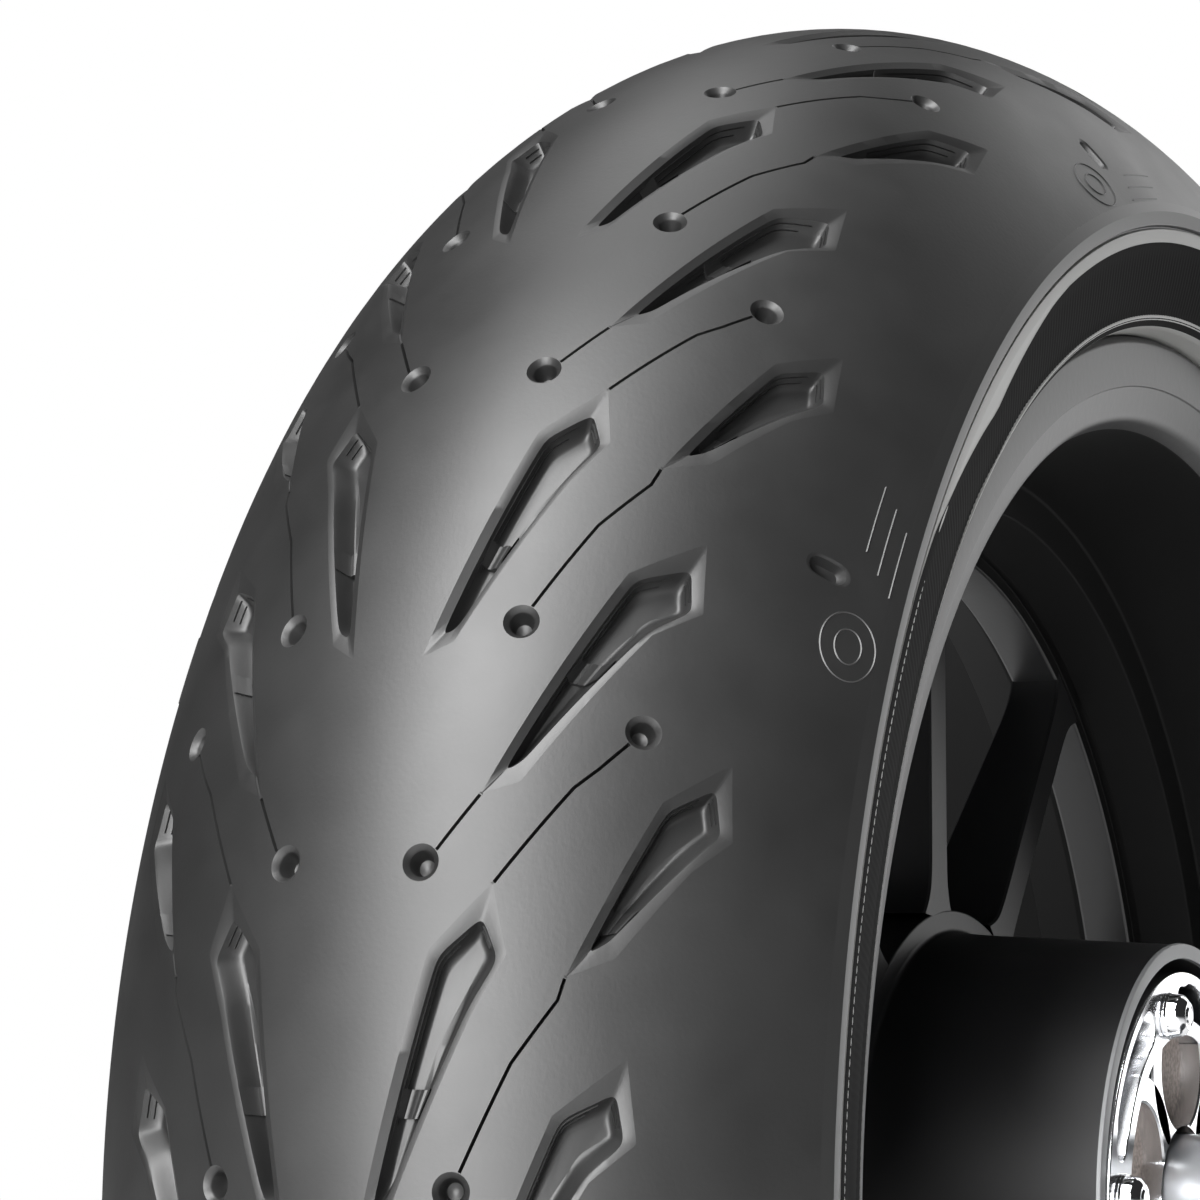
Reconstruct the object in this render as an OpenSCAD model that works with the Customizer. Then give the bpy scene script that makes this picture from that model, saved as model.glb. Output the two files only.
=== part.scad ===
// Rear motorcycle wheel with a radial sport-touring tyre.
// Origin at the wheel's centre, axle along Y, drive side towards -Y, +Z up. Millimetres.

/* [Tyre] */
// Height of the tyre's section above the bead seat
tyre_h = 97.5; // [88:0.5:120]
// Width of the tyre across its widest points
tyre_w = 182; // [168:1:220]
// Thickness of the patterned cap of the tread
cap_t = 6; // [4:0.5:8]
// Thickness of the rubber base under the cap
base_t = 2; // [1:0.5:3]
// Thickness of the steel belt
belt_t = 2.2; // [1:0.1:3]
// Thickness of the carcass ply
ply_t = 1.6; // [1:0.1:2.5]
// Thickness of the airtight liner
liner_t = 1; // [0.6:0.1:2]
// Number of tread pitches around the tyre
pitches = 16; // [12:1:18]
// Radius of the round blind holes in the tread
dot_r = 3.4; // [2:0.1:4.5]

/* [Rim] */
// Radius of the rim where the bead sits
seat_r = 218.5; // [200:0.5:265]
// Width between the inner faces of the two flanges
rim_w = 139.7; // [128:0.1:168]
// Height of the flange above the bead seat
flange_h = 10.5; // [8:0.5:14]
// Height of the pale face outside the flange
face_h = 20.5; // [16:0.5:25]
// Depth of the drop centre below the bead seat
well_d = 19.5; // [16:0.5:24]

/* [Spokes] */
// Number of spokes
spoke_n = 10; // [8:1:12]
// Width of a spoke
spoke_w = 12; // [8:0.5:15]
// Angle that a spoke swings forward from the hub to the rim
spoke_lean = 8.8; // [4:0.1:12]
// Depth of a spoke along the axle at the hub
root_d = 27; // [20:1:34]
// Depth of a spoke along the axle at the rim
tip_d = 15; // [12:1:20]

/* [Hub] */
// Radius of the ring that the spokes grow from
ring_r = 76.5; // [73:0.5:92]
// Radius of the drum's mouth on the drive side
drum_r = 67; // [62:0.5:69]
// Distance from the centre plane to the drum's mouth
drum_y = 80.5; // [72:0.5:97]
// Thickness of the drum's wall at its mouth
drum_t = 3.7; // [3:0.1:4.5]
// Depth of the drum
drum_d = 24.5; // [20:0.5:29]
// Radius of the brake disc seat
disc_r = 58; // [56:0.5:66]
// Distance from the centre plane to the brake disc seat
disc_y = 62; // [58:0.5:74]
// Circle of the brake disc holes, across their centres
disc_pcd = 104; // [100:1:106]
// Number of brake disc holes
disc_n = 5; // [4:1:6]
// Radius of a brake disc hole
disc_hole_r = 4; // [3:0.5:5]

/* [Drive flange] */
// Radius of the drive flange
flange_r = 59.8; // [58:0.1:60]
// Radius of the flange's opening
open_r = 43; // [40:0.5:44]
// Thickness of the flange plate
plate_t = 8; // [5:0.5:10]
// Number of flange bolts
bolt_n = 5; // [4:1:6]
// Radius of the circle that the flange bolts stand on
bolt_pr = 50; // [49.5:0.1:50.5]
// Radius of a bolt's shank
bolt_r = 4; // [3:0.5:4.5]
// Radius of a bolt's domed head
head_r = 6.3; // [5.5:0.1:6.8]

/* [Axle and bearings] */
// Radius of the axle
axle_r = 12.5; // [10:0.5:15]
// Radius of the bore through the axle
axle_bore_r = 8; // [5:0.5:8.5]
// Radius of a bearing's outer ring
bearing_r = 26; // [25:0.5:28]
// Width of a bearing
bearing_w = 15; // [12:0.5:18]
// Radius of a bearing ball
ball_r = 3.7; // [3:0.1:4]
// Number of balls in a bearing
ball_n = 9; // [7:1:10]
// Radius of the spacer collars
collar_r = 17; // [16.5:0.5:19]
// Length of bare axle that each swingarm plate sits on
arm_t = 20; // [10:1:30]

/* [Valve] */
// Radius of the valve stem
valve_r = 4; // [3.6:0.1:4.2]
// Length of the valve stem inside the rim
valve_l = 29; // [26:1:34]
// Travel of the valve pin
pin_travel = 1.5; // [1:0.1:2]

/* [Hidden] */
$fn = 72;

// Tyre section: the crown is a superellipse, and every layer is an inward offset of it.
tyre_r = seat_r + tyre_h;
half_w = tyre_w / 2;
rim_hw = rim_w / 2;
crown_drop = 0.692 * tyre_h;
crown_p = 1.966;
crown_q = 1.526;
// Stations across half of the crown, and the last one that the tread reaches
stations = 10;
last = 8;
d_cap = cap_t;
d_base = d_cap + base_t;
d_belt = d_base + belt_t;
d_ply = d_belt + ply_t;
d_liner = d_ply + liner_t;
eps = 0.01;

function crown(y) = tyre_r - crown_drop * (1 - pow(1 - pow(min(abs(y) / half_w, 1), crown_p), 1 / crown_q));
function station(k) = half_w * sin(90 * k / stations);
// Point of the crown at station k, moved in by d along its normal: [distance from axle, y]
function crown_pt(k, d) = let(
    y = station(k),
    steep = abs(k) == stations,
    slope = steep ? 0 : (crown(y + eps) - crown(y - eps)) / (2 * eps),
    len = sqrt(1 + slope * slope),
    nr = steep ? 0 : 1 / len,
    ny = steep ? sign(k) : -slope / len)
    [crown(y) - d * nr, y - d * ny];
function layer(d, n) = [for (k = [-n:n]) crown_pt(k, d)];
function flip(pts) = [for (i = [len(pts) - 1:-1:0]) pts[i]];
function other(pts) = [for (p = pts) [p[0], -p[1]]];
// A point of the lower sidewall: h is its share of the section height, g how far it stands out
// between the flange's inner face and the widest point.
function side_pt(h, g) = [seat_r + h * tyre_h, rim_hw + g * (half_w - rim_hw)];

// Bead: its core lies on the chafer, which lies on the rim's seat
core_lo = seat_r + 1.9;
core_hi = seat_r + 7.5;
core_out = rim_hw - 3.25;
core_in_lo = rim_hw - 10.05;
core_in_hi = rim_hw - 9.25;
toe_y = rim_hw - 14.3;
heel_y = rim_hw - 1.5;
heel_rise = 0.1;
toe_drop = 0.9;
// Outer face of the ply between the crown and the bead, from the crown down
ply_low = [side_pt(0.21, 0.149), side_pt(0.118, -0.267), [core_hi, core_in_hi], [core_lo, core_in_lo]];
ply_in = [side_pt(0.22, 0.064), side_pt(0.13, -0.342), [core_hi + 0.4, core_in_hi - 2.2], [core_lo, core_in_lo - 2.2]];
liner_in = [side_pt(0.228, 0.018), side_pt(0.137, -0.4), [core_hi + 0.5, core_in_hi - 3.4], [core_lo, core_in_lo - 3.4]];
filler_out = side_pt(0.138, 0.035);

// Rim section, from the centre to the flange: [distance from axle, y]
well_r = seat_r - well_d;
rib_r = seat_r - 40.5;
rib_y = tip_d / 2;
face_r = seat_r + flange_h - 1.3 - face_h;
flange_top = seat_r + flange_h;
rim_out = [[well_r, 20], [well_r + 9, 38], [seat_r - 1.3 - 0.6, rim_hw - 22],
    [seat_r - toe_drop, toe_y], [seat_r + heel_rise, heel_y], [seat_r + 1.1, rim_hw], [flange_top - 1.5, rim_hw],
    [flange_top, rim_hw + 1.5], [flange_top, rim_hw + 5.5], [flange_top - 1.3, rim_hw + 7.4]];
rim_under = [[flange_top - 4, rim_hw + 7.2], [face_r, rim_hw + 1.4], [face_r - 1.2, rim_hw - 0.4],
    [seat_r - 22.2, 26], [seat_r - 32.2, 25], [rib_r, rib_y]];

// Hub section
floor_y = drum_y - drum_d;
floor_t = 12;
tube_r = bearing_r + 7;
shoulder_r = bearing_r - 2;
left_in = floor_y - bearing_w;
left_out = floor_y;
right_in = disc_y - 9 - bearing_w;
right_out = disc_y - 9;
seal_w = 5;

// Bearing section
track_gap = 0.3;
pitch_r = (axle_r + bearing_r) / 2;
inner_land = pitch_r - ball_r + 0.8;
outer_land = pitch_r + ball_r - 0.8;
cage_in = pitch_r - 1.3;
cage_out = pitch_r + 1.3;
cage_w = 2 * ball_r + 2;
pocket_gap = 0.05;
collar_gap = 0.35;

// Axle: the two collars reach from the bearings to the swingarm plates
left_face = drum_y + 27.5;
right_face = disc_y + 38;
washer_t = 3;
nut_t = 14;
nut_r = 20;
head_t = 10;

// Drive flange
flange_face = drum_y - 1.5;
lug_r = 7.8;
slot_half = 20.5;
slot_off = 37;
slot_pr = 52.2;
slot_w = 4.6;
first_bolt = 71;
// Curved arms of the flange: each is a stretch of a ring whose middle lies arm_off from the axle
arm_out = 23.7;
arm_in = 16.4;
arm_off = 34.4;
arm_turn = 13.5;
arm_root = 2;
arm_clear = 2;
dome_h = 6.5;

// Spokes
first_root = 79;
root_sink = 12;
tip_sink = 8;

// Valve, midway between two spokes
valve_a = first_root + 0.8 * spoke_lean + (floor(0.45 * spoke_n) + 0.5) * 360 / spoke_n;
stem_base = well_r;
stem_tip = rib_r - valve_l;
seat_hole = valve_r + 0.25;
pin_r = 0.8;
pin_gap = 0.05;
core_r = 2;
cap_gap = 0.05;
thread_r = valve_r - 0.3;

// Turns children so that their Z axis lies along Y; the section's second number becomes y
module along_y() { rotate([-90, 0, 0]) children(); }
module ring(pts) { along_y() rotate_extrude() polygon(pts); }
// Puts children, which look outward along local X, at angle a from -X towards +Z
module at(a) { rotate([0, 0, 180 + a]) children(); }
module tube(r, bore, y0, y1) { ring([[bore, y0], [r, y0], [r, y1], [bore, y1]]); }

// ---- tyre ----
// Distance along the crown from its middle to y, summed over short steps
arc_steps = 60;
arc_y = [for (i = [0:arc_steps]) half_w * 0.96 * i / arc_steps];
function arc_sum(i) = i == 0 ? 0 : arc_sum(i - 1) + norm([arc_y[i] - arc_y[i - 1], crown(arc_y[i]) - crown(arc_y[i - 1])]);
arc_to_y = [for (i = [0:arc_steps]) [arc_sum(i), arc_y[i]]];
wide = half_w / 91;
pitch_a = 360 / pitches;
turn = pitch_a / 22.5;

// Outline of each cut as [degrees along the pitch, mm from the middle along the crown]
mid_cut = [[26.67, 63], [23.35, 65.8], [21.78, 56.2], [14.63, 34.8], [13.99, 27], [24.29, 48.3]];
outer_cut = [[17.07, 78.3], [13.69, 80.9], [12.04, 72.7], [8.05, 58.8], [7.12, 49], [14.74, 64.8]];
inner_cut = [[10.53, 32.1], [7.8, 36.6], [5.45, 30.6], [-2.3, 14.8], [-3.02, 8.4], [7.82, 20.4]];
dots = [[11.13, 16.3], [21.32, 28.4], [17.49, 58.4]];
cut_deep = 15;
cut_high = 6;

// Puts children on the crown at angle a and distance t from the middle, Z along the outward normal
module on_crown(a, t) {
    y = lookup(t * wide, arc_to_y);
    tilt = atan((crown(y) - crown(y + eps)) / eps);
    at(a * turn) translate([crown(y), 0, y]) rotate([0, 90 - tilt, 0]) children();
}
module cut(pts) {
    a0 = (min([for (p = pts) p[0]]) + max([for (p = pts) p[0]])) / 2;
    t0 = (min([for (p = pts) p[1]]) + max([for (p = pts) p[1]])) / 2;
    r0 = crown(lookup(t0 * wide, arc_to_y));
    on_crown(a0, t0) translate([0, 0, -cut_deep]) linear_extrude(cut_deep + cut_high)
        polygon([for (p = pts) [(t0 - p[1]) * wide, (p[0] - a0) * turn * PI / 180 * r0]]);
}
module pitch_cuts() {
    cut(mid_cut);
    cut(outer_cut);
    cut(inner_cut);
    for (p = dots) on_crown(p[0], p[1]) translate([0, 0, -cut_deep]) cylinder(h = cut_deep + cut_high, r = dot_r);
}
module tread_cap() color("#3b3c3e") difference() {
    ring(concat(layer(0, last), flip(layer(d_cap, last))));
    along_y() for (i = [0:pitches - 1]) rotate([0, 0, i * pitch_a]) for (s = [0, 1])
        mirror([0, 0, s]) pitch_cuts();
}
module tread_base() color("#2a2a2b") ring(concat(layer(d_cap, last), flip(layer(d_base, last))));
module steel_belt() color("#8a8d90") ring(concat(layer(d_base, last), flip(layer(d_belt, last))));
module carcass_ply() color("#5d5647")
    ring(concat(flip(other(ply_low)), layer(d_belt, stations), ply_low,
        flip(ply_in), flip(layer(d_ply, stations)), other(ply_in)));
module inner_liner() color("#202021")
    ring(concat(flip(other(ply_in)), layer(d_ply, stations), ply_in,
        flip(liner_in), flip(layer(d_liner, stations)), other(liner_in)));
side_out = [crown_pt(last, 0), side_pt(0.428, 0.948), side_pt(0.41, 1), side_pt(0.37, 1),
    side_pt(0.352, 0.925), side_pt(0.3, 0.9), side_pt(0.22, 0.81), side_pt(0.155, 0.677), side_pt(0.14, 0.69),
    [flange_top + 1.4, rim_hw + 11], [flange_top, rim_hw + 5.5], [flange_top, rim_hw + 1.5], [flange_top - 1.5, rim_hw],
    [core_lo, rim_hw]];
side_in = [[core_lo, core_out], [core_hi, core_out], filler_out, ply_low[0],
    crown_pt(stations, d_belt), crown_pt(stations - 1, d_belt), crown_pt(last, d_belt)];
module sidewall_left() color("#1f1f20") ring(other(concat(side_out, side_in)));
module sidewall_right() color("#1f1f20") ring(concat(side_out, side_in));
core = [[core_lo, core_in_lo], [core_hi, core_in_hi], [core_hi, core_out], [core_lo, core_out]];
module bead_core_left() color("#a9752f") ring(other(core));
module bead_core_right() color("#a9752f") ring(core);
filler = [[core_hi, core_in_hi], ply_low[1], ply_low[0], filler_out, [core_hi, core_out]];
module bead_filler_left() color("#2b2b2c") ring(other(filler));
module bead_filler_right() color("#2b2b2c") ring(filler);
chafer = [[core_lo, core_in_lo - 3.4], [core_lo, rim_hw], [seat_r + 1.1, rim_hw], [seat_r + heel_rise, heel_y],
    [seat_r - toe_drop, toe_y], [seat_r + 0.3, toe_y - 1]];
module chafer_left() color("#262627") ring(other(chafer));
module chafer_right() color("#262627") ring(chafer);

// ---- wheel ----
module rim() color("#34363a") difference() {
    ring(concat(flip(other(rim_out)), rim_out, rim_under, flip(other(rim_under))));
    along_y() at(valve_a) rotate([0, 90, 0]) cylinder(h = seat_r, r = seat_hole);
}
// One spoke seen along the axle, from the hub's ring to the rim's rib, flared at both ends
module spoke_plan(root_a, tip_a) {
    p0 = [ring_r * cos(root_a), ring_r * sin(root_a)];
    p1 = [rib_r * cos(tip_a), rib_r * sin(tip_a)];
    run = norm(p1 - p0);
    heading = atan2(p1[1] - p0[1], p1[0] - p0[0]);
    half = spoke_w / 2;
    translate(p0) rotate(heading)
        polygon([[-root_sink, half + 9], [3, half + 2.5], [12, half], [run - 14, half], [run - 3, half + 3], [run + tip_sink, half + 12],
            [run + tip_sink, -half - 12], [run - 3, -half - 3], [run - 14, -half], [12, -half], [3, -half - 2.5], [-root_sink, -half - 9]]);
}
module spokes() color("#3a3c40") intersection() {
    ring([[ring_r, -root_d / 2], [rib_r, -rib_y], [rib_r, rib_y], [ring_r, root_d / 2]]);
    along_y() for (i = [0:spoke_n - 1]) at(i * 360 / spoke_n) translate([0, 0, -root_d]) linear_extrude(2 * root_d)
        spoke_plan(first_root, first_root + spoke_lean);
}
hub_outer = [[drum_r, -drum_y], [ring_r - 6.5, -root_d / 2 - 6.1], [ring_r, -root_d / 2], [ring_r, root_d / 2],
    [ring_r - 6.5, root_d / 2 + 6.1], [disc_r - 6, disc_y - 16], [disc_r, disc_y - 10], [disc_r, disc_y]];
hub_inner = [[46, disc_y], [46, disc_y - 10], [disc_r - 11, disc_y - 16], [ring_r - 13, root_d / 2], [ring_r - 13, -root_d / 2],
    [drum_r - 8, -floor_y + floor_t], [tube_r, -floor_y + floor_t], [tube_r, right_out + seal_w],
    [bearing_r, right_out + seal_w], [bearing_r, right_in], [shoulder_r, right_in], [shoulder_r, -left_in],
    [bearing_r, -left_in], [bearing_r, -left_out - seal_w], [tube_r, -left_out - seal_w], [tube_r, -floor_y],
    [drum_r - drum_t, -floor_y], [drum_r - drum_t, -drum_y]];
module hub_shell() color("#2c2e31") difference() {
    ring(concat(hub_outer, hub_inner));
    along_y() {
        for (i = [0:disc_n - 1]) rotate([0, 0, i * 360 / disc_n]) translate([disc_pcd / 2, 0, disc_y - 12])
            cylinder(h = 20, r = disc_hole_r);
        for (i = [0:bolt_n - 1]) at(first_bolt + i * 360 / bolt_n) translate([bolt_pr, 0, -floor_y - 1])
            cylinder(h = floor_t + 2, r = bolt_r);
    }
}
weight_a = 7;
weight_y0 = 34;
weight_y1 = 54;
function under_r(y) = rim_under[3][0] + (rim_under[2][0] - rim_under[3][0]) * (y - rim_under[3][1]) / (rim_under[2][1] - rim_under[3][1]);
module balance_weights() color("#9a9c9e") along_y() for (i = [0:2]) at(300 + i * (weight_a + 1))
    rotate_extrude(angle = weight_a)
        polygon([[under_r(weight_y0), -weight_y0], [under_r(weight_y1), -weight_y1],
            [under_r(weight_y1) - 4, -weight_y1 + 1], [under_r(weight_y0) - 4, -weight_y0 - 1]]);

// ---- drive flange ----
module flange_plan() {
    difference() {
        circle(r = flange_r);
        circle(r = open_r);
        for (i = [0:bolt_n - 1]) rotate(180 + first_bolt - slot_off + i * 360 / bolt_n) arc_slot();
        bolt_holes();
    }
    difference() {
        intersection() {
            circle(r = open_r + arm_root);
            for (i = [0:bolt_n - 1]) rotate(180 + first_bolt + arm_turn + i * 360 / bolt_n) translate([arm_off, 0]) difference() {
                circle(r = arm_out);
                circle(r = arm_in);
            }
        }
        circle(r = collar_r + arm_clear);
        bolt_holes();
    }
}
module arc_slot() {
    intersection() {
        difference() {
            circle(r = slot_pr + slot_w);
            circle(r = slot_pr - slot_w);
        }
        polygon([[0, 0], [1.3 * flange_r, -1.3 * flange_r * tan(slot_half)], [1.3 * flange_r, 1.3 * flange_r * tan(slot_half)]]);
    }
}
module bolt_holes() {
    for (i = [0:bolt_n - 1]) rotate(180 + first_bolt + i * 360 / bolt_n) translate([bolt_pr, 0]) circle(r = bolt_r);
}
module drive_flange() color("#c9ccd0") along_y() {
    translate([0, 0, -flange_face]) linear_extrude(plate_t) flange_plan();
    translate([0, 0, -flange_face + plate_t]) linear_extrude(flange_face - plate_t - floor_y) difference() {
        for (i = [0:bolt_n - 1]) rotate(180 + first_bolt + i * 360 / bolt_n) translate([bolt_pr, 0]) circle(r = lug_r);
        bolt_holes();
    }
}
module flange_bolts() color("#e4e6e8") along_y() for (i = [0:bolt_n - 1]) at(first_bolt + i * 360 / bolt_n)
    translate([bolt_pr, 0, 0]) rotate_extrude() polygon([[0, -flange_face - dome_h], [head_r * 0.45, -flange_face - dome_h * 0.93],
        [head_r * 0.8, -flange_face - dome_h * 0.68], [head_r * 0.97, -flange_face - dome_h * 0.35], [head_r, -flange_face],
        [bolt_r, -flange_face], [bolt_r, -floor_y + floor_t - 1], [0, -floor_y + floor_t - 1]]);

// ---- bearings and axle ----
// Both bearings are drawn about their own middle, then moved along the axle
left_mid = -(left_in + left_out) / 2;
right_mid = (right_in + right_out) / 2;
module track() { along_y() rotate_extrude() translate([pitch_r, 0]) circle(r = ball_r + track_gap); }
module outer_race() { difference() { tube(bearing_r, outer_land, -bearing_w / 2, bearing_w / 2); track(); } }
module inner_race() { difference() { tube(inner_land, axle_r, -bearing_w / 2, bearing_w / 2); track(); } }
module balls() { along_y() for (i = [0:ball_n - 1]) rotate([0, 0, i * 360 / ball_n]) translate([pitch_r, 0, 0]) sphere(r = ball_r); }
module cage() {
    difference() {
        tube(cage_out, cage_in, -cage_w / 2, cage_w / 2);
        along_y() for (i = [0:ball_n - 1]) rotate([0, 90, i * 360 / ball_n]) cylinder(h = bearing_r, r = ball_r + pocket_gap);
    }
}
module bearing_outer_left() color("#b9bcc0") translate([0, left_mid, 0]) outer_race();
module bearing_outer_right() color("#b9bcc0") translate([0, right_mid, 0]) outer_race();
module bearing_inner_left() color("#b9bcc0") translate([0, left_mid, 0]) inner_race();
module bearing_inner_right() color("#b9bcc0") translate([0, right_mid, 0]) inner_race();
module bearing_balls_left() color("#d8dadd") translate([0, left_mid, 0]) balls();
module bearing_balls_right() color("#d8dadd") translate([0, right_mid, 0]) balls();
module bearing_cage_left() color("#b08d4a") translate([0, left_mid, 0]) cage();
module bearing_cage_right() color("#b08d4a") translate([0, right_mid, 0]) cage();
module seal_left() color("#7a3b24") tube(bearing_r, collar_r + collar_gap, -left_out - seal_w, -left_out);
module seal_right() color("#7a3b24") tube(bearing_r, collar_r + collar_gap, right_out, right_out + seal_w);
module bearing_spacer() color("#a7aaad") tube(axle_r + 4, axle_r, -left_in, right_in);
shaft_end = left_face + arm_t + washer_t + nut_t + 2;
head_y = right_face + arm_t;
module axle() color("#b4b7ba") {
    tube(axle_r, axle_bore_r, -shaft_end, head_y);
    along_y() translate([0, 0, head_y]) difference() {
        cylinder(h = head_t, r = nut_r, $fn = 6);
        translate([0, 0, -1]) cylinder(h = head_t + 2, r = axle_bore_r);
    }
}
module collar_left() color("#c4c7ca") tube(collar_r, axle_r, -left_face, -left_out);
module collar_right() color("#c4c7ca") tube(collar_r, axle_r, right_out, right_face);
module axle_washer() color("#c4c7ca") tube(nut_r, axle_r, -left_face - arm_t - washer_t, -left_face - arm_t);
module axle_nut() color("#b4b7ba") along_y() translate([0, 0, -left_face - arm_t - washer_t - nut_t]) difference() {
    cylinder(h = nut_t, r = nut_r, $fn = 6);
    translate([0, 0, -1]) cylinder(h = nut_t + 2, r = axle_r);
}

// ---- valve ----
// Drawn along Z, which points from the wheel's centre to the valve
module to_valve() { along_y() at(valve_a) rotate([0, 90, 0]) children(); }
seal_h = 3;
seal_r = valve_r + 5;
module valve_stem() color("#c3a468") to_valve() rotate_extrude() polygon([[core_r, stem_tip], [thread_r, stem_tip],
    [thread_r, stem_tip + 9], [valve_r, stem_tip + 10], [valve_r, stem_base + seal_h], [seal_r, stem_base + seal_h],
    [seal_r, stem_base + seal_h + 2], [core_r, stem_base + seal_h + 2]]);
module valve_seal() color("#1c1c1c") to_valve() difference() {
    translate([0, 0, stem_base]) cylinder(h = seal_h, r = seal_r);
    cylinder(h = tyre_r, r = valve_r);
}
nut_h = 5;
// The nut's corners clear the curved inside of the rib
nut_clear = 0.25;
module valve_nut() color("#c3a468") to_valve() difference() {
    translate([0, 0, rib_r - nut_clear - nut_h]) cylinder(h = nut_h, r = valve_r + 4, $fn = 6);
    cylinder(h = tyre_r, r = valve_r);
}
core_l = 8;
pin_rest = 0.5;
module valve_core() color("#b9975b") to_valve() difference() {
    translate([0, 0, stem_tip + pin_travel + pin_rest]) cylinder(h = core_l, r = core_r);
    cylinder(h = tyre_r, r = pin_r + pin_gap);
}
module valve_pin() color("#d9dbdd") to_valve() translate([0, 0, stem_tip]) cylinder(h = core_l + 2 * (pin_travel + pin_rest), r = pin_r);
cap_l = 9.8;
cap_wall = 0.9;
cap_top = 2;
cap_room = 0.6;
module valve_cap() color("#161617") to_valve() difference() {
    translate([0, 0, stem_tip - cap_top]) cylinder(h = cap_l, r = valve_r + cap_wall);
    translate([0, 0, stem_tip - cap_room]) cylinder(h = cap_l, r = thread_r + cap_gap);
}

tread_cap();
tread_base();
steel_belt();
carcass_ply();
inner_liner();
sidewall_left();
sidewall_right();
bead_core_left();
bead_core_right();
bead_filler_left();
bead_filler_right();
chafer_left();
chafer_right();
rim();
spokes();
hub_shell();
balance_weights();
drive_flange();
flange_bolts();
bearing_outer_left();
bearing_outer_right();
bearing_inner_left();
bearing_inner_right();
bearing_balls_left();
bearing_balls_right();
bearing_cage_left();
bearing_cage_right();
seal_left();
seal_right();
bearing_spacer();
axle();
collar_left();
collar_right();
axle_washer();
axle_nut();
valve_stem();
valve_seal();
valve_nut();
valve_core();
valve_pin();
valve_cap();
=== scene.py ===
"""Rear motorcycle wheel with a radial sport-touring tyre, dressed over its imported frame. Metres."""

import math

import bpy
import numpy as np
from mathutils import Matrix
from mathutils.geometry import delaunay_2d_cdt


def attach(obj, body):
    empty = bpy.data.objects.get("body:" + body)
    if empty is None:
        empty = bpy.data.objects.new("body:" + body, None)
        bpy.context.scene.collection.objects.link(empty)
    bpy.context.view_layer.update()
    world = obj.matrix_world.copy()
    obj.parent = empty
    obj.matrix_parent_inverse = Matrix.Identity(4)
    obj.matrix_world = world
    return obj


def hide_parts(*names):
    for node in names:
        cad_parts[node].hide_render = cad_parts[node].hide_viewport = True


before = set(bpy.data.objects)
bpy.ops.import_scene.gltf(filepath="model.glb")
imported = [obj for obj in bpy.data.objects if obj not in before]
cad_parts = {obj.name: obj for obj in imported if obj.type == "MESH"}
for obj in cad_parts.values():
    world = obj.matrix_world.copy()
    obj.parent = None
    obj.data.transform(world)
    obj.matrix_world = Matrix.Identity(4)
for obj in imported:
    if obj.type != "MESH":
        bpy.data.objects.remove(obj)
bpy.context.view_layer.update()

# ---- Tread -------------------------------------------------------------------------------
# The patterned cap of the tyre: silica-filled synthetic rubber, pressed into a hot mould that
# leaves dagger-shaped grooves, round dots, thin sipes and low wear bars. Sizes in millimetres.
crown_radius = 316.0
half_width = 91.0
crown_fall = 67.47
ridge_y, ridge_radius = 89.9, 260.3
cone_y = 76.5
pitches = 16
pitch_turn = 360 / pitches
skin_depth = 5.7


def ellipse(y):
    """Radius of the superellipse that the crown follows, at y from the middle plane."""
    share = np.minimum(np.abs(y) / half_width, 1)
    return crown_radius - crown_fall * (1 - (1 - share**1.966) ** (1 / 1.526))


cone_radius = float(ellipse(cone_y))
cone_slope = float(ellipse(cone_y + 0.01) - ellipse(cone_y - 0.01)) / 0.02
cone_bend = (ridge_radius - cone_radius - cone_slope * (ridge_y - cone_y)) / (ridge_y - cone_y) ** 2


def crown(y):
    """Radius of the crown: the superellipse, then from the cone on a nearly straight run to the ridge."""
    past = np.maximum(np.abs(y) - cone_y, 0)
    return np.where(past > 0, cone_radius + cone_slope * past + cone_bend * past**2, ellipse(y))


lane = np.linspace(0, ridge_y, 5000)
lane_run = np.concatenate([[0], np.cumsum(np.hypot(np.diff(lane), np.diff(crown(lane))))])
shoulder_y = 88.0
shoulder_run = float(np.interp(shoulder_y, lane, lane_run))


def on_crown(turn, run, depth):
    """Point and outward normal of the tyre, turn degrees from -X towards +Z and run mm along the crown
    from the middle (negative on the drive side), sunk by depth along the normal."""
    y = np.interp(np.abs(run), lane_run, lane)
    step = 0.02
    slope = (crown(y + step) - crown(y - step)) / (2 * step)
    size = np.hypot(1, slope)
    side = np.where(run < 0, -1.0, 1.0)
    r = crown(y) - depth / size
    axial = (y + depth * slope / size) * side
    a = np.radians(turn)
    out = np.stack([-np.cos(a) / size, -slope / size * side, np.sin(a) / size], -1)
    return np.stack([-r * np.cos(a), axial, r * np.sin(a)], -1) / 1000, out


def grid_faces(rows, cols, start=0, around=False):
    """Quads of a grid of points stored row by row. With around, the last column joins the first."""
    i, j = np.meshgrid(np.arange(rows - 1), np.arange(cols if around else cols - 1), indexing="ij")
    k = (j + 1) % cols
    quads = np.stack([i * cols + j, i * cols + k, (i + 1) * cols + k, (i + 1) * cols + j], -1)
    return (start + quads).reshape(-1, 4)


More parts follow.
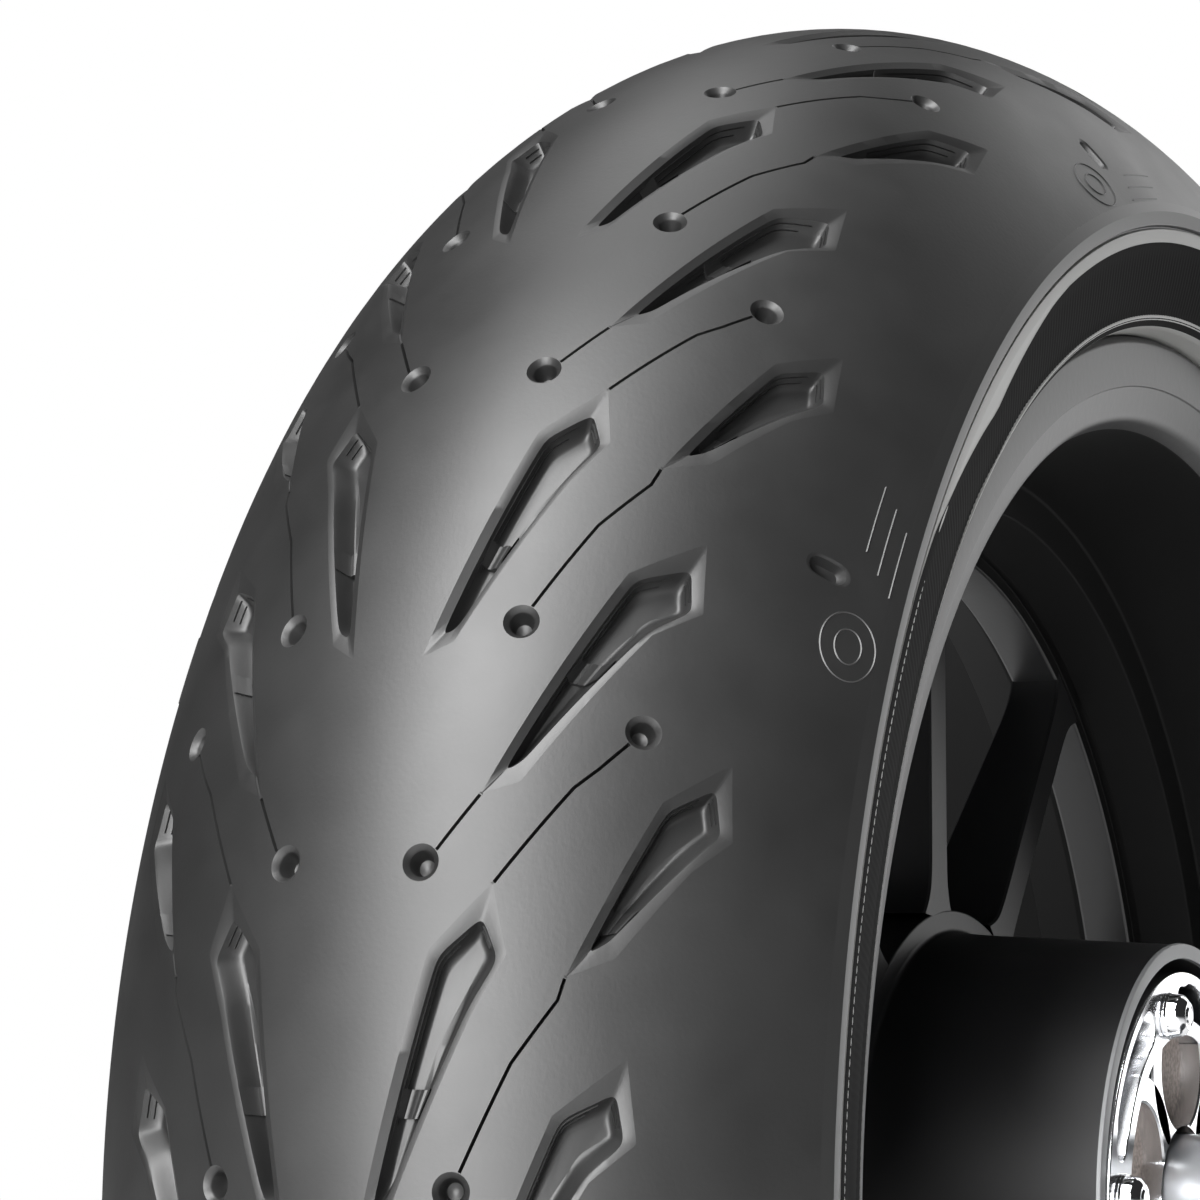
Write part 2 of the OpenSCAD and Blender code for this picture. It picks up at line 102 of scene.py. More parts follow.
def mesh_piece(name, points, faces, body, material, stands_for=(), crease=35, normals=None):
    """Makes a piece from points in metres and faces (arrays of 3 or 4 indices), and puts it on a body."""
    groups = [np.asarray(f) for f in (faces if isinstance(faces, list) else [faces]) if len(f)]
    mesh = bpy.data.meshes.new(name)
    mesh.vertices.add(len(points))
    mesh.vertices.foreach_set("co", np.asarray(points, np.float32).ravel())
    corners = np.concatenate([g.ravel() for g in groups])
    sizes = np.concatenate([np.full(len(g), g.shape[1]) for g in groups])
    mesh.loops.add(len(corners))
    mesh.loops.foreach_set("vertex_index", corners.astype(np.int32))
    mesh.polygons.add(len(sizes))
    mesh.polygons.foreach_set("loop_start", np.concatenate([[0], np.cumsum(sizes)[:-1]]).astype(np.int32))
    mesh.polygons.foreach_set("use_smooth", np.ones(len(sizes), bool))
    mesh.update(calc_edges=True)
    mesh.validate()
    mesh.set_sharp_from_angle(angle=math.radians(crease))
    if normals is not None:
        mesh.normals_split_custom_set([tuple(n) for n in normals])
    piece = bpy.data.objects.new(name, mesh)
    bpy.context.scene.collection.objects.link(piece)
    piece.data.materials.append(material)
    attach(piece, body)
    if stands_for:
        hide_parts(*stands_for)
    return piece


def in_metres(x, y, z):
    """Points in metres, one to a row, from coordinates in mm that broadcast together."""
    return np.stack(np.broadcast_arrays(x, y, z), -1).reshape(-1, 3) / 1000


def linear(code):
    """sRGB hex to linear RGBA: the low end is divided by 12.92, the rest is ((c + 0.055) / 1.055) ** 2.4."""
    c = [int(code[i : i + 2], 16) / 255 for i in (1, 3, 5)]
    return [v / 12.92 if v <= 0.04045 else ((v + 0.055) / 1.055) ** 2.4 for v in c] + [1.0]


def finish_named(name):
    """A new material with an empty node tree but for its shader and its output."""
    material = bpy.data.materials.new(name)
    material.use_nodes = True
    tree = material.node_tree
    tree.nodes.clear()
    shader = tree.nodes.new("ShaderNodeBsdfPrincipled")
    end = tree.nodes.new("ShaderNodeOutputMaterial")
    tree.links.new(shader.outputs[0], end.inputs["Surface"])
    return material, tree, shader


def node(tree, kind, links=None, outputs=0, **settings):
    """Adds a node. A setting that is an input's name is put on that input, any other on the node itself.
    Links map an input's name or place to a socket; the chosen output comes back."""
    made = tree.nodes.new(kind)
    for key, value in settings.items():
        if hasattr(made, key) and key not in made.inputs:
            setattr(made, key, value)
    for key, value in settings.items():
        if key in made.inputs:
            made.inputs[key].default_value = value
    for key, socket in (links or {}).items():
        tree.links.new(socket, made.inputs[key])
    return made.outputs[outputs]


def tint_by(tree, shader, value, dark, pale):
    """Colours the shader between two shades, as a value goes from 0 to 1."""
    shade = node(tree, "ShaderNodeValToRGB", {"Fac": value})
    for element, code in zip(shade.node.color_ramp.elements, (dark, pale)):
        element.color = linear(code)
    tree.links.new(shade, shader.inputs["Base Color"])


def bump_by(tree, shader, height, strength, distance):
    """Roughens the shader's surface by a height."""
    bump = node(tree, "ShaderNodeBump", {"Height": height}, Strength=strength, Distance=distance)
    tree.links.new(bump, shader.inputs["Normal"])


def set_inputs(shader, values):
    """Sets inputs of the shader by their names."""
    for name, value in values.items():
        shader.inputs[name].default_value = value


# Vulcanised tread rubber, satin from the mould, with a slight bloom and a fine grain.
tread_rubber, tree, shader = finish_named("vulcanised tread rubber")
place = node(tree, "ShaderNodeTexCoord", outputs="Object")
bloom = node(tree, "ShaderNodeTexNoise", {"Vector": place},
             Scale=22.0, Detail=5.0, Roughness=0.6)
grain = node(tree, "ShaderNodeTexNoise", {"Vector": place}, Scale=900.0, Detail=3.0)
tint = node(tree, "ShaderNodeValToRGB", {"Fac": bloom})
ramp = tint.node.color_ramp
ramp.elements[0].position, ramp.elements[0].color = 0.3, linear("#111111")
ramp.elements[1].position, ramp.elements[1].color = 0.75, linear("#171717")
tree.links.new(tint, shader.inputs["Base Color"])
rough = node(tree, "ShaderNodeMapRange", {"Value": bloom},
             **{"From Min": 0.3, "From Max": 0.7, "To Min": 0.42, "To Max": 0.5})
tree.links.new(rough, shader.inputs["Roughness"])
bump_by(tree, shader, grain, 0.12, 0.0002)
set_inputs(shader, {"IOR": 1.5})

# One pitch of the pattern, as [degrees, mm from the middle]. Each groove has the outline of its
# mouth, the outline where its bevel ends and the outline of its floor, corner for corner:
# the far corner of the end, the near corner, the inner bend, the heel, the tip, the outer bend.
grooves = {
    "middle": dict(
        mouth=[[26.67, 63.0], [23.35, 65.8], [21.78, 56.2], [14.63, 34.8], [13.99, 27.0], [24.29, 48.3]],
        bevel=[[25.3, 61.3], [23.35, 63.5], [21.95, 55.5], [15.5, 34.6], [15.0, 30.9], [24.15, 50.1]],
        floor=[[24.1, 59.6], [23.6, 60.6], [22.9, 54.6], [16.6, 34.9], [16.2, 33.8], [23.4, 51.9]],
        bar=(19.35, 20.35),
    ),
    "outer": dict(
        mouth=[[17.07, 78.3], [13.69, 80.9], [12.04, 72.7], [8.05, 58.8], [7.12, 49.0], [14.74, 64.8]],
        bevel=[[15.85, 75.9], [13.85, 78.5], [12.3, 71.7], [8.7, 57.4], [8.15, 53.2], [14.46, 66.3]],
        floor=[[14.9, 74.4], [14.2, 75.6], [13.2, 70.9], [9.6, 58.2], [9.4, 56.8], [13.8, 68.2]],
        bar=(9.1, 10.1),
    ),
    "inner": dict(
        mouth=[[10.53, 32.1], [7.8, 36.6], [5.45, 30.6], [-2.3, 14.8], [-3.02, 8.4], [7.82, 20.4]],
        bevel=[[9.2, 30.7], [7.6, 34.9], [5.7, 29.8], [-1.7, 14.6], [-2.0, 11.4], [7.6, 22.2]],
        floor=[[8.3, 29.4], [7.7, 31.4], [6.6, 28.6], [-0.6, 15.4], [-0.9, 14.2], [7.0, 24.0]],
        bar=(1.5, 2.6),
    ),
}
steep_sides = np.array([1.0, 0.0, 0.0, 0.25, 1.0, 1.0])
dots = [[11.13, 16.3], [21.32 - pitch_turn, 28.4], [17.49, 58.4]]
dot_mouth, dot_wall = 3.95, 2.9
sipes = [
    [[-1.18, 28.4], [3.69, 39.4], [6.21, 47.9], [7.12, 49.0]],
    [[17.49, 58.4], [15.61, 50.6], [14.66, 46.0], [10.5, 32.2]],
    [[11.13, 16.3], [11.7, 19.5], [13.99, 27.0]],
]
tile_side = np.array([[15.0, 0], [15.4, 14], [17.2, 26.5], [20.4, 35.5], [25.6, 44.5], [27.8, 50.5],
                      [28.3, 58],
                      [29.0, 66], [30.5, 76], [31.2, 86], [31.5, shoulder_run]])
flat_scale = 5.3  # millimetres for each degree, near enough to space points evenly


def stretch(points):
    """[degrees, mm] to flat millimetres."""
    return np.asarray(points, float) * [flat_scale, 1]


def walk(points, step, counts=None):
    """Points evenly along a closed outline's sides, each with its start, and how many each side has."""
    ends = np.roll(points, -1, 0)
    if counts is None:
        counts = np.maximum(np.ceil(np.linalg.norm(ends - points, axis=1) / step).astype(int), 2)
    made = [
        p + (q - p) * np.linspace(0, 1, n, endpoint=False)[:, None] for p, q, n in zip(points, ends, counts)
    ]
    return np.concatenate(made), counts


def soften(ring, times):
    """Rounds a closed outline: each pass moves a point halfway to the middle of its neighbours."""
    for _ in range(times):
        ring = (np.roll(ring, 1, 0) + 2 * ring + np.roll(ring, -1, 0)) / 4
    return ring


def inside(points, outline):
    """Which points lie in an outline, by the even number of crossings to their right."""
    x, y = points[:, None, 0], points[:, None, 1]
    p, q = outline[None], np.roll(outline, -1, 0)[None]
    crossing = (p[..., 1] > y) != (q[..., 1] > y)
    with np.errstate(divide="ignore", invalid="ignore"):
        at = (q[..., 0] - p[..., 0]) * (y - p[..., 1]) / (q[..., 1] - p[..., 1]) + p[..., 0]
    return (crossing & (x < at)).sum(1) % 2 == 1


def fill(border, holes, spacing):
    """Triangles between a border and its holes, with a field of points about spacing apart."""
    rings = [border] + holes
    edge_points = np.concatenate(rings)
    low, high = edge_points.min(0), edge_points.max(0)
    rows = np.arange(low[1], high[1], spacing * 0.87)
    starts = [low[0] + (i % 2) * spacing / 2 for i in range(len(rows))]
    spots = [np.arange(start, high[0], spacing) for start in starts]
    field = np.concatenate([np.stack([along, 0 * along + v], -1) for along, v in zip(spots, rows)])
    clear = np.min(np.linalg.norm(field[:, None] - edge_points[None], axis=2), axis=1) > spacing * 0.55
    field = field[clear & inside(field, border) & ~np.any([inside(field, h) for h in holes], axis=0)]
    points = np.concatenate([edge_points, field])
    edges, start = [], 0
    for ring in rings:
        n = len(ring)
        edges += [(start + i, start + (i + 1) % n) for i in range(n)]
        start += n
    out, _, faces = delaunay_2d_cdt([tuple(p) for p in points], edges, [], 0, 1e-7)[:3]
    out = np.array([tuple(p) for p in out])
    faces = np.array(faces)
    middle = out[faces].mean(1)
    keep = inside(middle, border) & ~np.any([inside(middle, h) for h in holes], axis=0)
    return out, faces[keep]


def ribbon(points, width, step=3.0):
    """Left side, middle and right side of a path of that width, walked in steps."""
    run = np.concatenate([[0], np.cumsum(np.linalg.norm(np.diff(points, axis=0), axis=1))])
    s = np.unique(np.concatenate([run, np.linspace(0, run[-1], int(run[-1] / step) + 2)]))
    mid = np.stack([np.interp(s, run, points[:, k]) for k in (0, 1)], -1)
    ahead = np.gradient(mid, axis=0)
    ahead /= np.linalg.norm(ahead, axis=1)[:, None]
    across = np.stack([-ahead[:, 1], ahead[:, 0]], -1) * width / 2
    return mid + across, mid, mid - across


def trim(points, first, last):
    """A path with a length taken off each end."""
    points = np.array(points, float)
    for end, away, by in ((0, 1, first), (-1, -2, last)):
        d = points[away] - points[end]
        points[end] += d / np.linalg.norm(d) * by
    return points


def groove_shape(shape):
    """A groove's grid of [flat x, flat y, depth]. From mouth to bevel the depth grows straight, and from
    bevel to floor it dives at once on the steep sides and as a quarter wave on the gentle ones."""
    mouth, counts = walk(stretch(shape["mouth"]), 1.5)
    bevel = soften(walk(stretch(shape["bevel"]), 0, counts)[0], 5)
    floor = soften(walk(stretch(shape["floor"]), 0, counts)[0], 5)
    steep = np.repeat(steep_sides, counts)
    steep = soften(soften(steep, 4), 2)
    lip = (0.5 + 0.45 * steep)[:, None]
    s = np.array([0, 0.05, 0.12, 0.2, 0.3, 0.42, 0.56, 0.7, 0.85, 1.0])
    dive = 1 - (1 - s) ** 3.2
    ease = np.sin(np.pi / 2 * s) ** 1.25
    fall = steep[:, None] * dive + (1 - steep[:, None]) * ease
    depth = lip + (skin_depth - 0.15 - lip) * fall
    flat = bevel[:, None] + (floor - bevel)[:, None] * s[None, :, None]
    flat = np.concatenate([mouth[:, None], flat], 1)
    depth = np.concatenate([np.zeros((len(mouth), 1)), depth], 1)
    return mouth, np.concatenate([flat, depth[..., None]], -1), steep


def groove_mesh(shape, start):
    """Points and faces of a groove's walls, floor, ribs and wear bar, numbered from start."""
    mouth, lattice, steep = groove_shape(shape)
    n, m = lattice.shape[:2]
    points = [lattice.transpose(1, 0, 2).reshape(-1, 3)]
    quads = [grid_faces(m, n, start, around=True)]
    # The floor's last ring is closed with a fan.
    count = start + n * m
    points.append(lattice[:, -1].mean(0)[None])
    ring = np.arange(n) + start + (m - 1) * n
    tris = [np.stack([ring, np.roll(ring, -1), np.full(n, count)], -1)]
    count += 1
    # Twin ribs run along the steep sides.
    long_side = np.where(steep > 0.9)[0]
    jumps = np.where(np.diff(long_side) > 1)[0]
    parts = np.split(long_side, jumps + 1)
    for part in parts:
        for level, cut in ((2.8, 0.14), (4.6, 0.22)):
            k = len(part)
            some = part[int(k * cut) : int(k * (1 - cut * 0.55)) + 1] if k > 20 else part[1:-1]
            if len(some) < 3:
                continue
            at = lambda v: np.stack(
                [[np.interp(v, np.arange(m), lattice[i, :, c]) for c in range(3)] for i in some])
            foot_a, top, foot_b = at(level - 0.2), at(level), at(level + 0.16)
            inward = at(level + 0.5)[:, :2] - at(level - 0.5)[:, :2]
            inward /= np.linalg.norm(inward, axis=1)[:, None]
            top = top + np.c_[inward * 0.3, np.full(len(some), -0.3)]
            rib = np.stack([foot_a, top, foot_b])
            points.append(rib.reshape(-1, 3))
            quads.append(grid_faces(3, len(some), count))
            count += 3 * len(some)
    # The wear bar is a block that follows the floor across the trough.
    outline = lattice[:, 3, :2]
    cloud = lattice.reshape(-1, 3)
    rows = []
    for turn, lift in zip(np.repeat(shape["bar"], 2), (-0.4, 0.95, 0.95, -0.4)):
        x = turn * flat_scale
        after = np.roll(outline, -1, 0)
        hit = np.where((outline[:, 0] - x) * (after[:, 0] - x) <= 0)[0]
        share = (x - outline[hit, 0]) / (after[hit, 0] - outline[hit, 0] + 1e-9)
        heights = outline[hit, 1] + share * (after[hit, 1] - outline[hit, 1])
        line = np.stack([np.full(12, x), np.linspace(heights.min(), heights.max(), 12)], -1)
        near = 1 / (np.linalg.norm(line[:, None] - cloud[None, :, :2], axis=2) + 0.05) ** 4
        rows.append(np.c_[line, (near @ cloud[:, 2]) / near.sum(1) - lift])
    points.append(np.concatenate(rows))
    quads.append(grid_faces(4, 12, count))
    count += 48
    return mouth, np.concatenate(points), np.concatenate(quads), np.concatenate(tris), count


def round_pit(centre, radii, depths, start, sides=26, stretch_y=0.0):
    """A round or long blind hole: rings that shrink and sink, closed with a fan. The first is its mouth."""
    a = np.linspace(0, 2 * np.pi, sides, endpoint=False)
    ring = np.stack([np.cos(a), np.sin(a)], -1)
    longer = np.stack([0 * a, np.clip(np.sin(a) * 3, -1, 1) * stretch_y], -1)
    rings = np.array([np.c_[centre + ring * r + longer * (r / radii[0]) ** 0.5, np.full(sides, d)]
                      for r, d in zip(radii, depths)])
    points = np.concatenate([rings.reshape(-1, 3), [[*centre, depths[-1] + 0.15]]])
    quads = grid_faces(len(radii), sides, start, around=True)
    last = np.arange(sides) + start + (len(radii) - 1) * sides
    tris = np.stack([last, np.roll(last, -1), np.full(sides, start + len(points) - 1)], -1)
    return rings[0, :, :2], points, quads, tris, start + len(points)


def tread_tile(with_slot):
    """One pitch of half of the tread: [flat x, flat y, depth] points, quads, triangles, and how many of the
    triangles, the last ones, lie on the crown itself."""
    points, quads, tris, holes, count = [], [], [], [], 0
    for shape in grooves.values():
        hole, p, q, t, count = groove_mesh(shape, count)
        holes.append(hole)
        points.append(p), quads.append(q), tris.append(t)
    pits = [(stretch(d), [dot_mouth, dot_wall, dot_wall - 0.25, dot_wall - 0.4, dot_wall - 1.1, 0.9],
             [0, 1.0, 1.5, 3.8, 5.0, 5.4], 0.0) for d in dots]
    if with_slot:
        pits.append((stretch([27.98, 90.7]), [3.3, 2.6, 2.2, 1.8, 0.8], [0, 0.35, 1.8, 2.6, 3.0], 2.4))
    for centre, radii, depths, longer in pits:
        hole, p, q, t, count = round_pit(centre, radii, depths, count, stretch_y=longer)
        holes.append(hole)
        points.append(p), quads.append(q), tris.append(t)
    for path in sipes:
        left, mid, right = ribbon(trim(stretch(path), dot_mouth + 0.12, 0.25), 0.75)
        n = len(left)
        holes.append(np.concatenate([left, right[::-1]]))
        points.append(np.concatenate([np.c_[left, np.zeros(n)], np.c_[mid, np.full(n, 2.2)],
                                      np.c_[right, np.zeros(n)]]))
        quads.append(grid_faces(3, n, count)[:, ::-1])
        ends = np.array([[0, n, 2 * n], [2 * n - 1 + n, 2 * n - 1, n - 1]]) + count
        tris.append(ends[:, ::-1])
        count += 3 * n
    rise = np.unique(np.concatenate([tile_side[:, 1], np.linspace(0, shoulder_run, 32)]))
    turn = np.interp(rise, tile_side[:, 1], tile_side[:, 0])
    right_side = stretch(np.stack([turn, rise], -1))
    left_side = right_side - [pitch_turn * flat_scale, 0]
    across = np.linspace(0, 1, 28)[1:-1, None]
    top = left_side[-1] + (right_side[-1] - left_side[-1]) * across
    bottom = right_side[0] + (left_side[0] - right_side[0]) * across
    border = np.concatenate([left_side, top, right_side[::-1], bottom])
    skin, faces = fill(border, holes, 5.2)
    area = np.cross(skin[faces[:, 1]] - skin[faces[:, 0]], skin[faces[:, 2]] - skin[faces[:, 0]])
    faces = np.where((area > 0)[:, None], faces, faces[:, ::-1])
    tris.append(faces + count)
    points.append(np.c_[skin, np.zeros(len(skin))])
    return np.concatenate(points), np.concatenate(quads), np.concatenate(tris), len(faces)


tile_plain, tile_slotted = tread_tile(False), tread_tile(True)
for side, name in ((-1, "tread_left"), (1, "tread_right")):
    spots, fours, threes, skins, count = [], [], [], [], 0
    for i in range(pitches):
        flat, quads, tris, n_skin = tile_slotted if i % 2 == 0 else tile_plain
        spots.append(np.c_[flat[:, 0] / flat_scale + i * pitch_turn, flat[:, 1:]])
        fours.append(quads + count)
        threes.append(tris[:-n_skin] + count)
        skins.append(tris[-n_skin:] + count)
        count += len(flat)
    spots = np.concatenate(spots)
    where, out = on_crown(spots[:, 0], spots[:, 1] * side + side * 1e-9, spots[:, 2])
    key, first, back = np.unique(np.round(where, 6), axis=0, return_index=True, return_inverse=True)
    back = back.ravel()
    fours, threes, skins = (back[np.concatenate(g)] for g in (fours, threes, skins))
    where, out = where[first], out[first]
    if side < 0:
        fours, threes, skins = fours[:, ::-1], threes[:, ::-1], skins[:, ::-1]
    whole = lambda f: f[np.all(np.diff(np.sort(f, 1), axis=1) > 0, axis=1)]
    fours, threes, skins = whole(fours), whole(threes), whole(skins)
    smooth = np.concatenate([np.zeros((fours.size + threes.size, 3)), out[skins.ravel()]])
    mesh_piece(name, where, [fours, threes, skins], "wheel", tread_rubber,
               stands_for=("tread_cap",), crease=28, normals=smooth)

# The sipes run on over the bevels of the grooves they meet: narrow near-black strips lying on the rubber,
# painted shade standing for the shadow inside the cuts.
painted_sipe_shade, tree, shader = finish_named("painted shade of sipe cuts")
place = node(tree, "ShaderNodeTexCoord", outputs="Object")
black_and_painted_shade_noise = node(tree, "ShaderNodeTexNoise", {"Vector": place}, **{"Scale": 300.0})
tint_by(tree, shader, black_and_painted_shade_noise, "#060606", "#0b0b0b")
set_inputs(shader, {"Roughness": 0.9})
meets = [("middle", 4, 0.75), ("outer", 4, 0.75), ("inner", 0, 1.4)]
for side, tag in ((-1, "left"), (1, "right")):
    points, faces, count = [], [], 0
    for i in range(pitches):
        for shape, corner, lip in meets:
            start, end = stretch([grooves[shape]["mouth"][corner], grooves[shape]["bevel"][corner]])
            left, mid, right = ribbon(np.array([start, end]), 0.7, step=1.0)
            sunk = np.linspace(-0.03, lip - 0.06, len(mid))
            for row in (left, mid, right):
                points.append(on_crown(row[:, 0] / flat_scale + i * pitch_turn, row[:, 1] * side, sunk)[0])
            grid = grid_faces(3, len(mid), count)
            faces.append(grid if side > 0 else grid[:, ::-1])
            count += 3 * len(mid)
    mesh_piece(f"sipe_shade_strips_{tag}", np.concatenate(points), np.concatenate(faces)[:, ::-1], "wheel",
               painted_sipe_shade)

# ---- Sidewalls ---------------------------------------------------------------------------
# The two flanks of the tyre: smoother rubber, moulded against polished steel. A flat ridge shields
# the rim's edge, a shallow panel with fine ribs lies under it, and a thin line marks the bead.


def turned(profile, turns=192, span=360.0, start=0.0):
    """Points and faces of a profile of [y, radius] turned about the axle, from start degrees over span."""
    profile = np.asarray(profile, float)
    full = span == 360.0
    a = np.radians(start + np.linspace(0, span, turns, endpoint=not full))
    y, r = profile[:, :1] + 0 * a, profile[:, 1:] + 0 * a
    points = np.stack([-r * np.cos(a), y, r * np.sin(a)], -1).reshape(-1, 3) / 1000
    return points, grid_faces(len(profile), turns, around=full)


def rounded(corners, radius, steps=5):
    """Replaces each inner corner of an open profile by an arc of that radius, or what its sides allow."""
    corners = np.asarray(corners, float)
    radius = np.broadcast_to(radius, len(corners))
    made = [corners[0]]
    for p, q, s, rad in zip(corners[:-2], corners[1:-1], corners[2:], radius[1:-1]):
        u, v = (p - q) / np.linalg.norm(p - q), (s - q) / np.linalg.norm(s - q)
        half = np.arccos(np.clip(u @ v, -1, 1)) / 2
        if rad <= 0 or half > 1.54:
            made.append(q)
            continue
        reach = min(rad / math.tan(half), 0.48 * np.linalg.norm(p - q), 0.48 * np.linalg.norm(s - q))
        rad = reach * math.tan(half)
        middle = q + (u + v) / np.linalg.norm(u + v) * rad / math.sin(half)
        a, b = q + u * reach - middle, q + v * reach - middle
        angle = np.arccos(np.clip(a @ b / (rad * rad), -1, 1))
        for k in np.linspace(0, 1, steps):
            made.append(middle + (a * math.sin((1 - k) * angle) + b * math.sin(k * angle)) / math.sin(angle))
    made.append(corners[-1])
    return np.array(made)


# Sidewall rubber, as black as the tread, with faint swirls. Inside a ring at 255.8 mm its colour is
# painted pale grey: a painted highlight for the light that the flank catches under the ridge.
side_rubber, tree, shader = finish_named("moulded sidewall rubber with painted highlight")
place = node(tree, "ShaderNodeTexCoord", outputs="Object")
cloud = node(tree, "ShaderNodeTexNoise", {"Vector": place}, Scale=30.0, Detail=4.0)
tint = node(tree, "ShaderNodeValToRGB", {"Fac": cloud})
tint.node.color_ramp.elements[0].color = linear("#111111")
tint.node.color_ramp.elements[1].color = linear("#171717")
parted = node(tree, "ShaderNodeSeparateXYZ", {0: place}, outputs="X")
flat = node(tree, "ShaderNodeCombineXYZ", {"X": parted, "Y": parted.node.outputs["Z"]})
away = node(tree, "ShaderNodeVectorMath", {0: flat}, outputs="Value", operation="LENGTH")
# Below this ring the colour mixes to pale grey, a painted highlight.
highlight_low, highlight_high = 0.2558, 0.2564
highlight_mask = node(tree, "ShaderNodeMapRange", {"Value": away},
                **{"From Min": highlight_low, "From Max": highlight_high, "To Min": 1.0, "To Max": 0.0})
painted_highlight = node(tree, "ShaderNodeMix", {0: highlight_mask, 6: tint}, outputs=2, data_type="RGBA")
painted_highlight.node.inputs[7].default_value = linear("#7c7c7a")
tree.links.new(painted_highlight, shader.inputs["Base Color"])
grain = node(tree, "ShaderNodeTexNoise", {"Vector": place}, Scale=1400.0, Detail=2.0)
bump_by(tree, shader, grain, 0.08, 0.0001)
set_inputs(shader, {"Roughness": 0.45, "IOR": 1.52})

# Ribbed panel rubber: its own matte black, made blacker still as painted shade for the recess that it lies
# in.
panel_rubber_painted_shade, tree, shader = finish_named("ribbed panel rubber with painted shade")
place = node(tree, "ShaderNodeTexCoord", outputs="Object")
black_and_painted_shade_noise = node(tree, "ShaderNodeTexNoise", {"Vector": place}, Scale=160.0, Detail=3.0)
tint_by(tree, shader, black_and_painted_shade_noise, "#040404", "#090909")
set_inputs(shader, {"Roughness": 0.8, "Specular IOR Level": 0.07})

run_in = np.linspace(shoulder_y, ridge_y, 6)
shoulder = np.stack([run_in, crown(run_in)], -1)
flank = rounded([[ridge_y, ridge_radius], [89.7, 256.8], [88.5, 256.4], [88.5, 256.0], [89.3, 255.7],
                 [89.0, 252.5], [87.9, 248.4], [86.6, 243.0], [84.9, 237.0], [84.0, 234.2], [84.4, 233.4],
                 [84.0, 232.5], [82.6, 231.6], [82.9, 230.9], [81.0, 230.3], [77.0, 229.6], [75.3, 229.2],
                 [74.0, 229.0]],
                [0, 0.2, 0.1, 0.1, 0.2, 3, 3, 8, 2, 0.3, 0.3, 0.3, 0.3, 0.5, 0.6, 1, 0.5, 0], steps=4)
flank = np.concatenate([shoulder[:-1], flank])
for side, name, cad in ((-1, "flank_left", "sidewall_left"), (1, "flank_right", "sidewall_right")):
    points, faces = turned(flank * [side, 1], turns=320)
    mesh_piece(name, points, faces if side > 0 else faces[:, ::-1], "wheel", side_rubber,
               stands_for=(cad,), crease=24)

# The ribbed ring: a matte black band on each flank, carried all the way round as painted shade
# between the ridge and the rim. Its outer border dips in at four slanted places, where smooth rubber shows
# between the band and the ridge.
band_low = 230.9
flank_y = lambda r: np.interp(r, flank[::-1, 1], flank[::-1, 0])
border_turn = [0, 30, 34, 38, 42, 46, 47, 57, 60, 90]
border_radius = [255.4, 255.4, 254.6, 252.0, 249.2, 246.6, 246.4, 251.6, 252.3, 252.3]
for side, tag in ((-1, "left"), (1, "right")):
    turn = np.linspace(0, 360, 2881)[None]
    fold = np.abs((turn % 180 + 90) % 180 - 90)
    outer = np.interp(fold, border_turn, border_radius)
    v = np.linspace(0, 1, 12)[:, None]
    r = band_low + (outer - band_low) * v
    ribs = 0.12 * (1 - np.abs(np.sin(np.radians(turn) * 360)))
    edge = np.clip(np.minimum(v, 1 - v) * 11 - 1, 0, 1)
    y = (flank_y(r) + 0.05 + ribs * edge) * side
    a = np.radians(turn)
    points = in_metres(-r * np.cos(a), y, r * np.sin(a))
    faces = grid_faces(12, 2881)
    mesh_piece(f"ribbed_band_{tag}", points, faces[:, ::-1] if side > 0 else faces, "wheel", panel_rubber_painted_shade,
               crease=50)

# ---- Mould marks -------------------------------------------------------------------------
# Thin raised lines and plain rings that the mould leaves on each shoulder, every second pitch.


def raised_line(turn, run, width, height):
    """A low ridge of triangular section along a path given in degrees and mm on the crown."""
    turn, run = np.asarray(turn, float), np.asarray(run, float)
    path = np.stack([turn * flat_scale, run], -1)
    ahead = np.gradient(path, axis=0)
    ahead /= np.linalg.norm(ahead, axis=1)[:, None]
    across = np.stack([-ahead[:, 1], ahead[:, 0]], -1) * width / 2
    rows = [path - across, path, path + across]
    return [(row[:, 0] / flat_scale, row[:, 1], h) for row, h in zip(rows, (0.05, -height, 0.05))]


for side, tag in ((-1, "left"), (1, "right")):
    points, faces, count = [], [], 0
    for i in range(0, pitches, 2):
        base = i * pitch_turn
        around = np.linspace(0, 2 * np.pi, 41)
        marks = [(np.linspace(29.94, 33.99, 12), np.full(12, 98.3)),
                 (np.linspace(29.05, 33.15, 12), np.full(12, 102.4)),
                 (np.linspace(28.2, 32.25, 12), np.full(12, 106.4)),
                 (24.68 + 1.75 * np.cos(around), 99.4 + 7.0 * np.sin(around)),
                 (24.68 + 0.9 * np.cos(around), 99.4 + 3.4 * np.sin(around))]
        for turn, run in marks:
            rows = raised_line(turn + base, run, 0.55, 0.2)
            for t, q, h in rows:
                points.append(on_crown(t, np.minimum(q, shoulder_run + 3) * side, np.full(len(t), h))[0])
            grid = grid_faces(3, len(turn), count)
            faces.append(grid[:, ::-1] if side < 0 else grid)
            count += 3 * len(turn)
    mesh_piece(f"mould_marks_{tag}", np.concatenate(points), np.concatenate(faces), "wheel", side_rubber,
               crease=60)

# ---- Rim ---------------------------------------------------------------------------------
# A 17 x 5.5 inch rim, cast with its spokes in aluminium alloy, turned where the bead sits and
# powder coated in satin dark grey. Its flanges end in a flat face and a rolled inner lip.

# Powder coat: dark grey, satin, with the faint orange peel of baked powder.
powder, tree, shader = finish_named("satin powder coat")
place = node(tree, "ShaderNodeTexCoord", outputs="Object")
peel = node(tree, "ShaderNodeTexNoise", {"Vector": place}, Scale=420.0, Detail=2.0)
dust_and_painted_shade = node(tree, "ShaderNodeTexNoise", {"Vector": place}, Scale=35.0, Detail=5.0)
tint_by(tree, shader, dust_and_painted_shade, "#0e0e0f", "#151516")
bump_by(tree, shader, peel, 0.1, 0.0003)
set_inputs(shader, {"Roughness": 0.42, "Metallic": 0.0, "IOR": 1.5})

